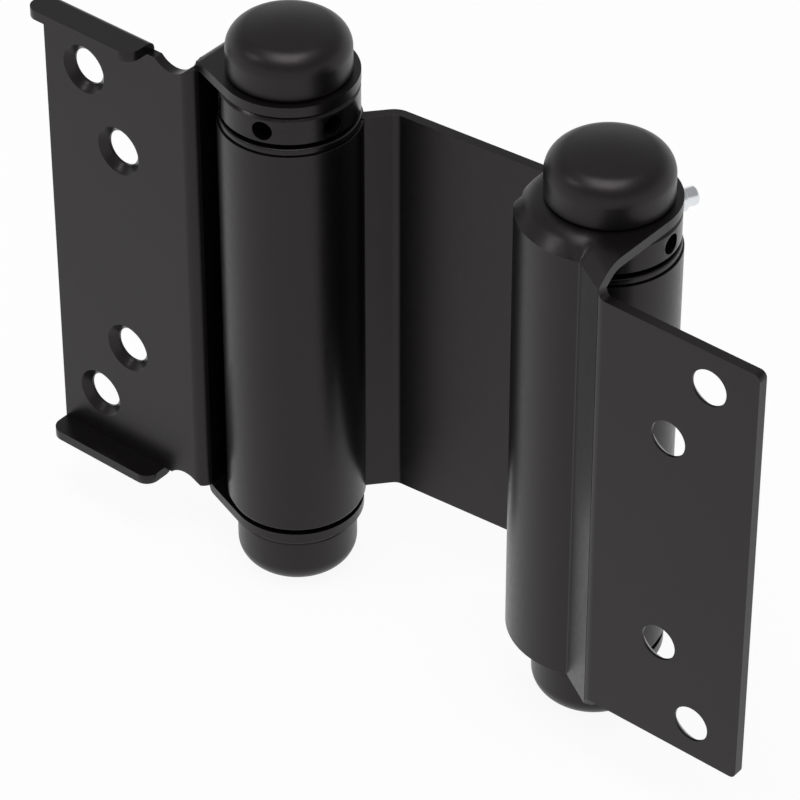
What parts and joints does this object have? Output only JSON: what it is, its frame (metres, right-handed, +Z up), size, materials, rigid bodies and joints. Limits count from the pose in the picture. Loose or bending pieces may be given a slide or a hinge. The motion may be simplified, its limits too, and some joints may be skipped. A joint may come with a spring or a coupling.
{
  "type": "double action spring hinge",
  "caption": "Double action spring hinge for a cafe door: two screw leaves swing about spring barrels joined by a centre plate.",
  "frame": {"origin": "on the tabbed leaf's wood face, midway between its outer screw holes", "axes": "+X along the leaves towards the plain leaf, +Y out of the tabbed leaf's wood face, +Z up along the spindles towards the tension collars"},
  "size_m": [0.124, 0.0283, 0.0921],
  "materials": {
    "black_sheet": "satin black powder coat on pressed steel sheet",
    "black_cap": "matt black coat on drawn steel caps",
    "black_ring": "satin black coat on turned steel",
    "turned_steel": "plain turned steel",
    "spring_wire": "oiled spring steel wire",
    "zinc_pin": "bright zinc plate"
  },
  "bodies": {
    "tabbed_side": {"tabbed_leaf": "black_sheet", "spindle_a": "turned_steel", "top_cap_a": "black_cap", "bottom_cap_a": "black_cap", "cap_spacer_a": "black_ring"},
    "plate": {"centre_plate": "black_sheet", "bottom_plug_a": "black_ring", "bottom_plug_b": "black_ring", "barrel_ring_a": "black_ring", "barrel_ring_b": "black_ring", "torsion_spring_a": "spring_wire", "torsion_spring_b": "spring_wire"},
    "plain_side": {"plain_leaf": "black_sheet", "spindle_b": "turned_steel", "top_cap_b": "black_cap", "bottom_cap_b": "black_cap", "cap_spacer_b": "black_ring"},
    "collar_a": {"tension_collar_a": "black_ring"},
    "collar_b": {"tension_collar_b": "black_ring"},
    "pin_a": {"tension_pin_a": "zinc_pin"},
    "pin_b": {"tension_pin_b": "zinc_pin"}
  },
  "joints": [
    {"name": "tabbed_side_swing", "type": "hinge", "parent": "tabbed_side", "child": "plate", "pos_m": [0.0307, 0.0066, 0], "axis": [0, 0, 1], "range_deg": [-184, 75], "deforming": ["torsion_spring_a"]},
    {"name": "plain_side_swing", "type": "hinge", "parent": "plate", "child": "plain_side", "pos_m": [0.08151, 0.01104, 0], "axis": [0, 0, 1], "range_deg": [-60, 184], "deforming": ["torsion_spring_b"]},
    {"name": "collar_a_winding", "type": "hinge", "parent": "tabbed_side", "child": "collar_a", "pos_m": [0.0307, 0.0066, 0], "axis": [0, 0, 1], "range_deg": [-180, 0], "deforming": ["torsion_spring_a"]},
    {"name": "collar_b_winding", "type": "hinge", "parent": "plain_side", "child": "collar_b", "pos_m": [0.08151, 0.01104, 0], "axis": [0, 0, 1], "range_deg": [-60, 120], "deforming": ["torsion_spring_b"]},
    {"name": "pin_a_draw", "type": "slide", "parent": "collar_a", "child": "pin_a", "axis": [-0.309, 0.9511, 0], "range_m": [0, 0.006]},
    {"name": "pin_b_draw", "type": "slide", "parent": "collar_b", "child": "pin_b", "axis": [0.4226, 0.9063, 0], "range_m": [0, 0.006]}
  ]
}
